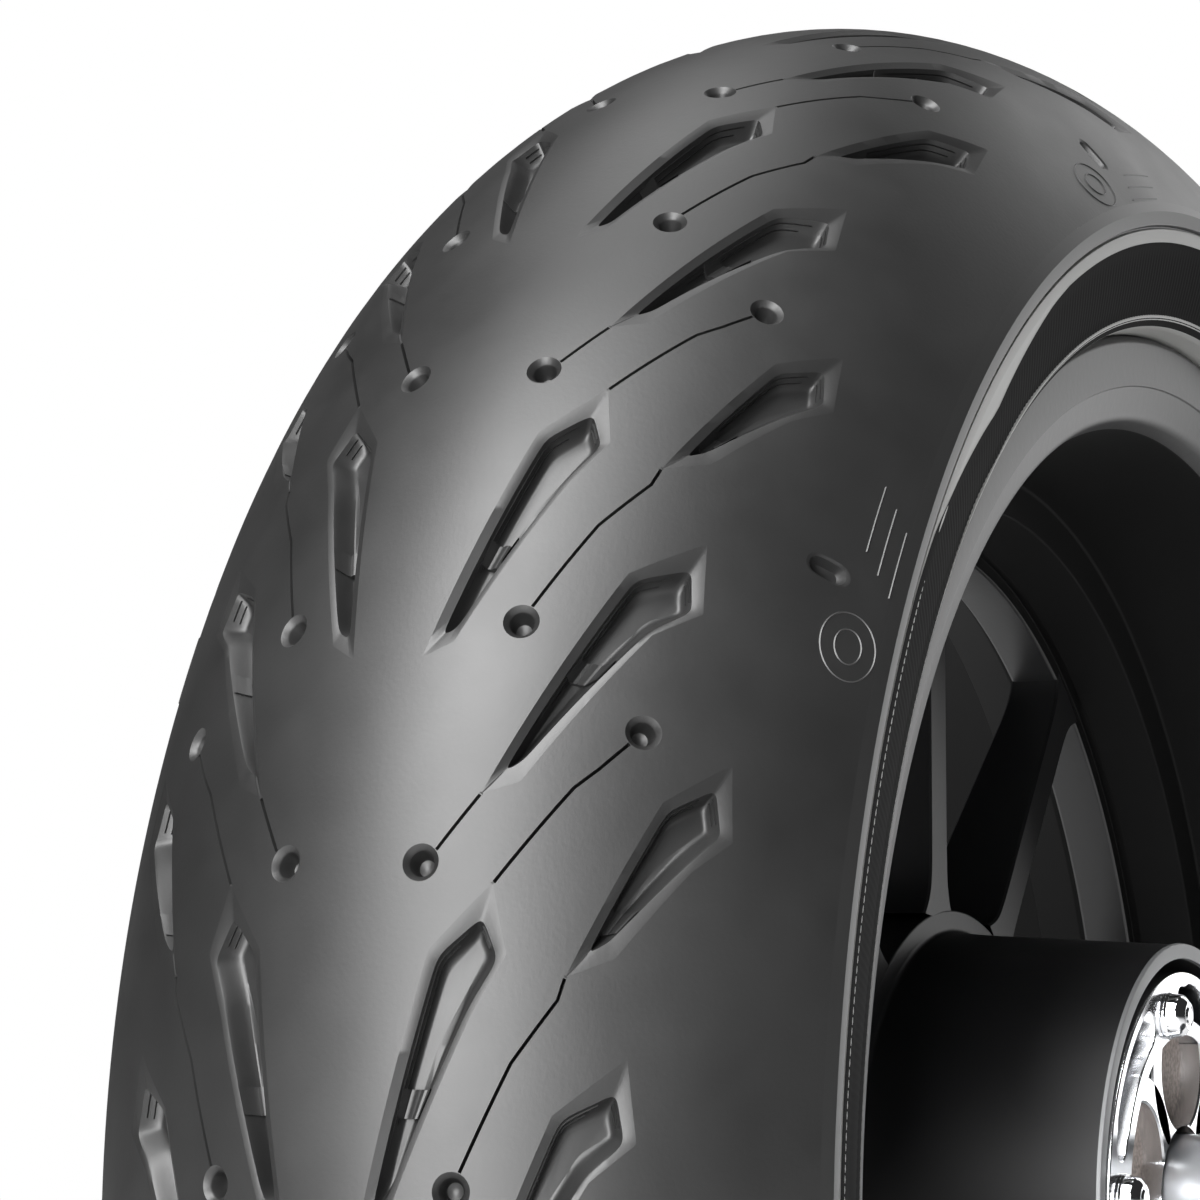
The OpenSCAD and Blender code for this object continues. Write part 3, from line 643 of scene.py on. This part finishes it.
rib_radius = 178.0
half_rim = rounded([[0, 199.0], [20, 199.0], [38, 208.0], [47.85, 216.6], [55.55, 217.6], [68.35, 218.6],
                    [69.85, 219.6], [69.85, 227.5], [71.35, 229.0], [75.35, 229.0], [77.25, 227.2],
                    [76.9, 215.6], [76.4, 215.3], [76.2, 214.6], [74.0, 207.0], [69.0, 204.4],
                    [60.0, 202.6], [26.2, 196.3], [25.0, 186.3], [10.0, 181.5], [7.5, 181.5], [7.2, 178.4],
                    [6.4, 178.0], [0, 178.0]],
                   [0, 4, 4, 3, 1, 2, 1, 1.2, 1.5, 2, 1.2, 0.2, 0.2, 0.4, 4, 5, 8, 1.2, 1.0, 2, 0.3, 0.5,
                    0.3, 0], steps=5)
loop = np.concatenate([half_rim, (half_rim * [-1, 1])[::-1][1:-1]])
points, faces = turned(np.concatenate([loop, loop[:1]]), turns=256)
rings = len(loop)
faces = np.where(faces >= rings * 256, faces - rings * 256, faces)
# The barrel between the lips, apart from the rib's inner face, gets near-black matt paint: painted shade.
width_at, height_at = np.abs(loop[:, 0]), loop[:, 1]
lip_end, rib_face, rib_half = 204.7, 178.2, 7.1
tyre_side = len(half_rim) * 0.4
place_in_loop = np.arange(rings)
barrel_row = (height_at < lip_end) & (height_at > rib_face) & (width_at > rib_half)
barrel_row &= (place_in_loop > tyre_side) & (place_in_loop < rings - tyre_side)
in_barrel = barrel_row & np.roll(barrel_row, -1)
painted_shade_faces = np.repeat(in_barrel, 256)
points = points[: rings * 256]
mesh_piece("rim_casting", points, faces[~painted_shade_faces], "wheel", powder, stands_for=("rim",), crease=30)
# Near black and matt, as painted shade inside the rim.
painted_barrel_shade, tree, shader = finish_named("barrel paint darkened as painted shade")
place = node(tree, "ShaderNodeTexCoord", outputs="Object")
dust_and_painted_shade = node(tree, "ShaderNodeTexNoise", {"Vector": place}, Scale=60.0, Detail=4.0)
tint_by(tree, shader, dust_and_painted_shade, "#030303", "#060606")
set_inputs(shader, {"Roughness": 0.6, "Specular IOR Level": 0.12})
used = np.unique(faces[painted_shade_faces])
renumber = np.zeros(len(points), int)
renumber[used] = np.arange(len(used))
mesh_piece("rim_barrel_painted_shade", points[used], renumber[faces[painted_shade_faces]], "wheel", painted_barrel_shade, crease=30)

# ---- Spokes ------------------------------------------------------------------------------
# Ten slim blades, part of the same casting. Each is deep along the axle, narrow across, flat on
# its faces with crisp edges, and flares where it joins the hub's ring and the rim's rib.
ring_radius = 76.5
spoke_count, first_root, first_tip = 10, 79.0, 87.8
blades_points, blades_faces, count = [], [], 0
for k in range(spoke_count):
    swing = 360 / spoke_count * k
    a, b = np.radians(first_root + swing), np.radians(first_tip + swing)
    start = np.array([-math.cos(a), math.sin(a)]) * (ring_radius - 2)
    end = np.array([-math.cos(b), math.sin(b)]) * (rib_radius + 3)
    reach = np.linalg.norm(end - start)
    ahead = (end - start) / reach
    across = np.array([-ahead[1], ahead[0]])
    u = np.sort(np.concatenate([np.linspace(0, 1, 30), np.linspace(0, 0.1, 12),
                                np.linspace(0.9, 1, 12)]))[:, None]
    near, far = u * reach, (1 - u) * reach
    half_w = 6.0 + 5.0 * np.exp(-((near / 5.5) ** 1.3)) + 6.0 * np.exp(-((far / 6.0) ** 1.3))
    half_d = 13.5 - 6.2 * u
    bevel = 0.7
    ring_x = np.stack([half_w[:, 0], half_w[:, 0], half_w[:, 0] - bevel, -half_w[:, 0] + bevel,
                       -half_w[:, 0], -half_w[:, 0], -half_w[:, 0] + bevel, half_w[:, 0] - bevel], -1)
    ring_y = np.stack([-half_d[:, 0] + bevel, half_d[:, 0] - bevel, half_d[:, 0], half_d[:, 0],
                       half_d[:, 0] - bevel, -half_d[:, 0] + bevel, -half_d[:, 0], -half_d[:, 0]], -1)
    x = start[0] + ahead[0] * near + across[0] * ring_x
    z = start[1] + ahead[1] * near + across[1] * ring_x
    points = in_metres(x, ring_y, z)
    blades_points.append(points)
    blades_faces.append(grid_faces(len(u), 8, count, around=True))
    count += len(points)
blades_points, blades_faces = np.concatenate(blades_points), np.concatenate(blades_faces)[:, ::-1]
mesh_piece("spoke_blades", blades_points, blades_faces, "wheel", powder,
           stands_for=("spokes",), crease=30)

# ---- Hub ---------------------------------------------------------------------------------
# The hub's shell: a long drum on the drive side, the ring that the spokes grow from, and the
# brake disc's seat on the other side. Cast, then faced on the drum's edge.
shell = rounded([[-79.0, 66.4], [-78.6, 67.0], [-24.0, 69.6], [-13.7, 70.4], [-13.5, 76.5], [13.5, 76.5],
                 [19.6, 70.0], [46, 52.0], [52, 58], [62, 58], [62, 46], [52, 46], [46, 47], [13.5, 63.5],
                 [-13.5, 63.5], [-44, 59], [-44, 33], [58, 33], [58, 26], [38, 26], [38, 24], [-41, 24],
                 [-41, 26], [-61, 26], [-61, 33], [-56, 33], [-56, 63.3], [-79.0, 63.3]],
                [0, 0.3, 4, 1.5, 0.6, 2, 4, 4, 1, 0.8, 0.8, 2, 3, 6, 6, 4, 4, 1, 0.3, 0.3, 0.2, 0.2, 0.3,
                 0.3, 0.6, 2, 2, 0], steps=5)
points, faces = turned(shell, turns=160)
mesh_piece("hub_casting", points, faces[:, ::-1], "wheel", powder, stands_for=("hub_shell",),
           crease=30)

# Turned aluminium for the lugs, collars and spacer: bare, cut on a lathe, with fine rings and a soft sheen.
turned_metal, tree, shader = finish_named("lathe turned aluminium")
place = node(tree, "ShaderNodeTexCoord", outputs="Object")
apart = tree.nodes.new("ShaderNodeSeparateXYZ")
tree.links.new(place, apart.inputs[0])
flat = node(tree, "ShaderNodeCombineXYZ", {"X": apart.outputs["X"], "Y": apart.outputs["Z"]})
away = node(tree, "ShaderNodeVectorMath", {0: flat}, outputs="Value", operation="LENGTH")
rings_in = node(tree, "ShaderNodeCombineXYZ", {"X": away})
cuts = node(tree, "ShaderNodeTexNoise", {"Vector": rings_in}, Scale=2400.0, Detail=2.0)
bump_by(tree, shader, cuts, 0.15, 0.00005)
set_inputs(shader, {"Base Color": linear("#cfd1d4"), "Metallic": 1.0, "Roughness": 0.28})

# The drum's edge is faced on a lathe too, but left dull.
dull_metal, tree, shader = finish_named("dull faced aluminium")
place = node(tree, "ShaderNodeTexCoord", outputs="Object")
drag = node(tree, "ShaderNodeTexNoise", {"Vector": place}, Scale=500.0, Detail=3.0)
bump_by(tree, shader, drag, 0.15, 0.0001)
set_inputs(shader, {"Base Color": linear("#7b7c7d"), "Metallic": 0.5, "Roughness": 0.5})
edge = rounded([[-78.2, 67.45], [-79.3, 67.2], [-79.3, 63.4], [-78.2, 63.25]], 0.3)
points, faces = turned(edge, turns=160)
mesh_piece("drum_edge", points, faces, "wheel", dull_metal, crease=30)

# ---- Drive flange ------------------------------------------------------------------------
# A polished aluminium ring with curved slots and arms, cut from plate. It stands on five lugs
# in the drum and is held by five bolts.
flange_face, flange_back = -79.0, -71.0
bolt_circle = 50.0
bolt_turns = [71 + 72 * i for i in range(5)]


def arc(cx, cy, radius, start, end, count):
    """Points on an arc, from start to end degrees."""
    a = np.radians(np.linspace(start, end, count))
    return np.stack([cx + radius * np.cos(a), cy + radius * np.sin(a)], -1)


def plate(name, border, holes, front, back, bevel, body, material, stands_for=()):
    """A flat plate with bevelled edges. Outlines are [x towards -X, up] in mm; front and back are y."""
    def shrink(ring, by):
        ahead = np.roll(ring, -1, 0) - np.roll(ring, 1, 0)
        ahead /= np.linalg.norm(ahead, axis=1)[:, None]
        return ring + np.stack([-ahead[:, 1], ahead[:, 0]], -1) * by
    turning = lambda ring: np.sum(
        ring[:, 0] * np.roll(ring[:, 1], -1) - np.roll(ring[:, 0], -1) * ring[:, 1]) > 0
    border = border if turning(border) else border[::-1]
    holes = [h[::-1] if turning(h) else h for h in holes]
    points, quads, tris, count = [], [], [], 0
    for ring in [border] + holes:
        inner = shrink(ring, bevel)
        n = len(ring)
        dip = bevel if front < back else -bevel
        levels = [(inner, front), (shrink(ring, bevel * 0.3), front + dip * 0.3), (ring, front + dip),
                  (ring, back)]
        for flat, y in levels:
            points.append(np.stack([-flat[:, 0], np.full(n, y), flat[:, 1]], -1))
        quads.append(grid_faces(4, n, count, around=True))
        count += 4 * n
    skin, faces = fill(shrink(border, bevel), [shrink(h, bevel) for h in holes], 6.0)
    area = np.cross(skin[faces[:, 1]] - skin[faces[:, 0]], skin[faces[:, 2]] - skin[faces[:, 0]])
    faces = np.where((area > 0)[:, None], faces, faces[:, ::-1])
    points.append(np.stack([-skin[:, 0], np.full(len(skin), front), skin[:, 1]], -1))
    tris.append(faces + count)
    count += len(skin)
    points.append(np.stack([-skin[:, 0], np.full(len(skin), back), skin[:, 1]], -1))
    tris.append(faces[:, ::-1] + count)
    points, tris, quads = np.concatenate(points), np.concatenate(tris), np.concatenate(quads)
    if front < back:
        quads = quads[:, ::-1]
    return mesh_piece(name, points / 1000, [quads, tris], body, material, stands_for=stands_for,
                      crease=30)


slot_holes = []
for turn in bolt_turns:
    mid = turn - 38
    lo, hi, r1, r2 = mid - 19.5, mid + 21.5, 47.6, 56.8
    cap = (r2 - r1) / 2
    ends = [np.radians(lo), np.radians(hi)]
    cm = (r1 + r2) / 2
    tail = arc(cm * math.cos(ends[0]), cm * math.sin(ends[0]), cap * 0.8, lo - 180, lo, 9)[1:-1]
    head = arc(cm * math.cos(ends[1]), cm * math.sin(ends[1]), cap, hi, hi + 180, 11)[1:-1]
    slot_holes.append(np.concatenate([arc(0, 0, cm + cap * 0.8, lo, lo + 6, 3)[:-1],
                                      arc(0, 0, r2, lo + 6, hi, 26), head,
                                      arc(0, 0, r1, hi, lo + 6, 26),
                                      arc(0, 0, cm - cap * 0.8, lo + 6, lo, 3)[1:], tail]))
polished, tree, shader = finish_named("polished aluminium plate")
place = node(tree, "ShaderNodeTexCoord", outputs="Object")
haze = node(tree, "ShaderNodeTexNoise", {"Vector": place}, Scale=60.0, Detail=6.0)
tree.links.new(node(tree, "ShaderNodeMapRange", {"Value": haze}, **{"To Min": 0.12, "To Max": 0.24}),
               shader.inputs["Roughness"])
set_inputs(shader, {"Base Color": linear("#e6e7e9"), "Metallic": 1.0})

plate("flange_ring", arc(0, 0, 59.8, 0, 357, 120), [arc(0, 0, 43.0, 0, 356, 90)] + slot_holes, flange_face,
      flange_back, 0.5,
      "wheel", polished, stands_for=("drive_flange",))
arms_points, arms_faces, count = [], [], 0
discs_points, discs_faces, n_disc = [], [], 0
for turn in bolt_turns:
    ax = math.radians(turn + 13.5)
    cx, cy = 34.4 * math.cos(ax), 34.4 * math.sin(ax)
    sweep = np.radians(np.linspace(turn + 13.5 + 70, turn + 13.5 + 290, 70))
    section = np.array([[16.4, flange_back], [16.4, flange_face + 0.6], [17.0, flange_face + 0.1],
                        [23.1, flange_face + 0.1], [23.7, flange_face + 0.6], [23.7, flange_back]])
    x = cx + section[:, :1] * np.cos(sweep)[None]
    z = cy + section[:, :1] * np.sin(sweep)[None]
    away = np.hypot(x, z)
    pull = np.clip(19.2 / away, 1, None)
    points = in_metres(-x * pull, section[:, 1:] + 0 * x, z * pull)
    arms_points.append(points)
    arms_faces.append(grid_faces(6, 70, count))
    count += len(points)
    rim_line = np.radians(np.linspace(0, 360, 60, endpoint=False))
    x, z = cx + 16.6 * np.cos(rim_line), cy + 16.6 * np.sin(rim_line)
    squeeze = np.clip(43.2 / np.hypot(x, z), None, 1)
    rings = np.concatenate([np.stack([-x * squeeze, np.full(60, flange_back - 2.0), z * squeeze], -1),
                            np.stack([-x * squeeze, np.full(60, flange_back + 1.0), z * squeeze], -1)])
    discs_points.append(np.concatenate([rings, [[-cx * 0.9, flange_back - 2.0, cy * 0.9]]]) / 1000)
    fan = np.stack([np.arange(60), (np.arange(60) + 1) % 60, np.full(60, 120)], -1) + n_disc
    discs_faces.append((fan, grid_faces(2, 60, n_disc, around=True)))
    n_disc += 121
mesh_piece("flange_arms", np.concatenate(arms_points), np.concatenate(arms_faces)[:, ::-1], "wheel",
           polished, crease=30)

# Behind each arm lies a blind pocket floor, left as cast, warm grey and grainy.
cast_metal, tree, shader = finish_named("as cast aluminium")
place = node(tree, "ShaderNodeTexCoord", outputs="Object")
sand = node(tree, "ShaderNodeTexNoise", {"Vector": place}, Scale=900.0, Detail=3.0)
tint = node(tree, "ShaderNodeValToRGB", {"Fac": sand})
tint.node.color_ramp.elements[0].position, tint.node.color_ramp.elements[0].color = 0.35, linear("#7a6f6a")
tint.node.color_ramp.elements[1].position, tint.node.color_ramp.elements[1].color = 0.65, linear("#a3978f")
tree.links.new(tint, shader.inputs["Base Color"])
bump_by(tree, shader, sand, 0.3, 0.0002)
set_inputs(shader, {"Roughness": 0.6, "Metallic": 0.3})
mesh_piece("flange_pockets", np.concatenate(discs_points), [np.concatenate([f[0] for f in discs_faces]),
           np.concatenate([f[1] for f in discs_faces])[:, ::-1]], "wheel", cast_metal,
           crease=30)

lug_points, lug_faces, count = [], [], 0
for turn in bolt_turns:
    a, v = np.radians(turn), np.linspace(0, 2 * np.pi, 36, endpoint=False)
    for_y = np.array([-71.0, -56.0])
    x = bolt_circle * math.cos(a) + 7.8 * np.cos(v)[None] + 0 * for_y[:, None]
    z = bolt_circle * math.sin(a) + 7.8 * np.sin(v)[None] + 0 * for_y[:, None]
    lug_points.append(in_metres(-x, for_y[:, None], z))
    lug_faces.append(grid_faces(2, 36, count, around=True))
    count += 72
mesh_piece("flange_lugs", np.concatenate(lug_points), np.concatenate(lug_faces)[:, ::-1], "wheel",
           turned_metal)

# ---- Flange bolts ------------------------------------------------------------------------
# Five chromed steel bolts with domed heads over a thin washer face.
chrome, tree, shader = finish_named("bright chrome plate")
place = node(tree, "ShaderNodeTexCoord", outputs="Object")
film = node(tree, "ShaderNodeTexNoise", {"Vector": place}, Scale=150.0, Detail=3.0)
tree.links.new(node(tree, "ShaderNodeMapRange", {"Value": film}, **{"To Min": 0.04, "To Max": 0.1}),
               shader.inputs["Roughness"])
set_inputs(shader, {"Base Color": linear("#d9dadc"), "Metallic": 1.0})
dome = rounded([[0, 6.4], [2.0, 6.4], [2.6, 5.8], [3.4, 6.2], [5.4, 4.6], [6.0, 1.6], [6.3, 0.9],
                [6.3, 0.0], [4.0, 0.0]],
               [0, 0.2, 0.5, 1, 2, 0.4, 0.2, 0.2, 0], steps=4)
heads_points, heads_faces, count = [], [], 0
for turn in bolt_turns:
    a, v = np.radians(turn), np.linspace(0, 2 * np.pi, 40, endpoint=False)[None]
    r, h = dome[:, :1], dome[:, 1:]
    x = bolt_circle * math.cos(a) + r * np.cos(v)
    z = bolt_circle * math.sin(a) + r * np.sin(v)
    heads_points.append(in_metres(-x, flange_face - h, z))
    heads_faces.append(grid_faces(len(dome), 40, count, around=True))
    count += len(dome) * 40
mesh_piece("bolt_heads", np.concatenate(heads_points), np.concatenate(heads_faces), "wheel", chrome,
           stands_for=("flange_bolts",), crease=40)

# ---- Plain turned and pressed parts ------------------------------------------------------
# Bearings, seals, spacer, collars, axle, washer, nut, valve and balance weights keep their shapes.
steel, tree, shader = finish_named("zinc plated steel")
place = node(tree, "ShaderNodeTexCoord", outputs="Object")
spangle = node(tree, "ShaderNodeTexNoise", {"Vector": place}, Scale=90.0, Detail=4.0)
tint_by(tree, shader, spangle, "#9fa2a6", "#b9bbbe")
set_inputs(shader, {"Metallic": 1.0, "Roughness": 0.32})

seal_rubber, tree, shader = finish_named("nitrile seal rubber")
place = node(tree, "ShaderNodeTexCoord", outputs="Object")
worn = node(tree, "ShaderNodeTexNoise", {"Vector": place}, Scale=120.0, Detail=3.0)
tint_by(tree, shader, worn, "#6b4a3c", "#80604f")
set_inputs(shader, {"Roughness": 0.55})

brass, tree, shader = finish_named("turned brass")
place = node(tree, "ShaderNodeTexCoord", outputs="Object")
stain = node(tree, "ShaderNodeTexNoise", {"Vector": place}, Scale=200.0, Detail=3.0)
tint_by(tree, shader, stain, "#a98a4c", "#c4a666")
set_inputs(shader, {"Metallic": 1.0, "Roughness": 0.3})

cap_plastic, tree, shader = finish_named("moulded nylon cap")
place = node(tree, "ShaderNodeTexCoord", outputs="Object")
grit = node(tree, "ShaderNodeTexNoise", {"Vector": place}, Scale=800.0, Detail=2.0)
bump_by(tree, shader, grit, 0.2, 0.0001)
set_inputs(shader, {"Base Color": linear("#161617"), "Roughness": 0.5})

dressing = {
    "axle": steel, "axle_nut": steel, "axle_washer": steel, "collar_left": turned_metal,
    "collar_right": turned_metal, "bearing_spacer": turned_metal, "bearing_outer_left": steel,
    "bearing_outer_right": steel, "bearing_inner_left": steel, "bearing_inner_right": steel,
    "bearing_balls_left": chrome, "bearing_balls_right": chrome, "bearing_cage_left": brass,
    "bearing_cage_right": brass, "seal_left": seal_rubber, "seal_right": seal_rubber, "valve_stem": brass,
    "valve_nut": brass, "valve_core": brass, "valve_pin": steel, "valve_cap": cap_plastic,
    "valve_seal": panel_rubber_painted_shade, "balance_weights": steel, "tread_base": panel_rubber_painted_shade, "steel_belt": steel,
    "carcass_ply": seal_rubber, "inner_liner": panel_rubber_painted_shade, "bead_core_left": brass,
    "bead_core_right": brass, "bead_filler_left": panel_rubber_painted_shade, "bead_filler_right": panel_rubber_painted_shade,
    "chafer_left": side_rubber, "chafer_right": side_rubber,
}
for name, material in dressing.items():
    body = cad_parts[name]
    body.data.materials.clear()
    body.data.materials.append(material)

# ---- Room --------------------------------------------------------------------------------
# A plain pale floor, a pale surround, large soft lights, and the camera.
floor_z, floor_size = -0.3162, 14
bpy.ops.mesh.primitive_plane_add(size=floor_size, location=(0, 0, floor_z))
floor = bpy.context.object
floor.name = "studio_floor"
floor_paint, tree, shader = finish_named("studio floor paint")
set_inputs(shader, {"Base Color": linear("#f4f4f4"), "Roughness": 0.9})
floor.data.materials.append(floor_paint)

world = bpy.data.worlds.new("pale surround")
bpy.context.scene.world = world
world.use_nodes = True
tree = world.node_tree
tree.nodes.clear()
seen = node(tree, "ShaderNodeLightPath", outputs="Is Camera Ray")
soft = node(tree, "ShaderNodeBackground", Color=(1, 1, 1, 1), Strength=0.035)
pale = node(tree, "ShaderNodeBackground", Color=(1, 1, 1, 1), Strength=1.0)
mix = node(tree, "ShaderNodeMixShader", {0: seen, 1: soft, 2: pale})
end = tree.nodes.new("ShaderNodeOutputWorld")
tree.links.new(mix, end.inputs["Surface"])


def softbox(name, place, aim, wide, tall, power):
    """A rectangular soft light at place that faces aim."""
    lamp = bpy.data.lights.new(name, "AREA")
    lamp.shape, lamp.size, lamp.size_y, lamp.energy = "RECTANGLE", wide, tall, power
    holder = bpy.data.objects.new(name, lamp)
    bpy.context.scene.collection.objects.link(holder)
    place, aim = np.array(place, float), np.array(aim, float)
    back = (place - aim) / np.linalg.norm(place - aim)
    right = np.cross([0, 0, 1.0], back)
    right /= np.linalg.norm(right)
    up = np.cross(back, right)
    holder.matrix_world = Matrix([[right[0], up[0], back[0], place[0]], [right[1], up[1], back[1], place[1]],
                                  [right[2], up[2], back[2], place[2]], [0, 0, 0, 1]])
    return holder


softbox("front softbox", (-1.97, -0.2, -0.05), (0, 0, 0), 1.0, 1.7, 106)
softbox("upper softbox", (-1.35, 0.1, 1.4), (0, 0, 0), 1.0, 1.5, 84)
softbox("overhead softbox", (0.25, 0.35, 1.95), (0, 0, 0), 0.8, 1.3, 8)
softbox("high rear softbox", (1.7, -0.35, 1.5), (0, 0, 0), 1.0, 0.9, 6)
softbox("rear softbox", (2.4, -0.55, 0.4), (0, 0, 0), 1.6, 1.8, 21)

camera = bpy.data.cameras.new("camera")
holder = bpy.data.objects.new("camera", camera)
bpy.context.scene.collection.objects.link(holder)
camera.sensor_width, camera.lens = 36.0, 120.39
camera.clip_start, camera.clip_end = 0.05, 60
turn, rise, roll = np.radians([-63.147, -8.826, 1.943])
back = np.array([math.sin(turn) * math.cos(rise), -math.cos(turn) * math.cos(rise), math.sin(rise)])
right = np.cross(-back, [0, 0, 1.0])
right /= np.linalg.norm(right)
up = np.cross(right, -back)
right, up = right * math.cos(roll) + up * math.sin(roll), -right * math.sin(roll) + up * math.cos(roll)
spot = (-1.03040, -0.42111, -0.01168)
holder.matrix_world = Matrix([[right[0], up[0], back[0], spot[0]], [right[1], up[1], back[1], spot[1]],
                              [right[2], up[2], back[2], spot[2]], [0, 0, 0, 1]])
bpy.context.scene.camera = holder
bpy.context.scene.view_settings.view_transform = "Standard"
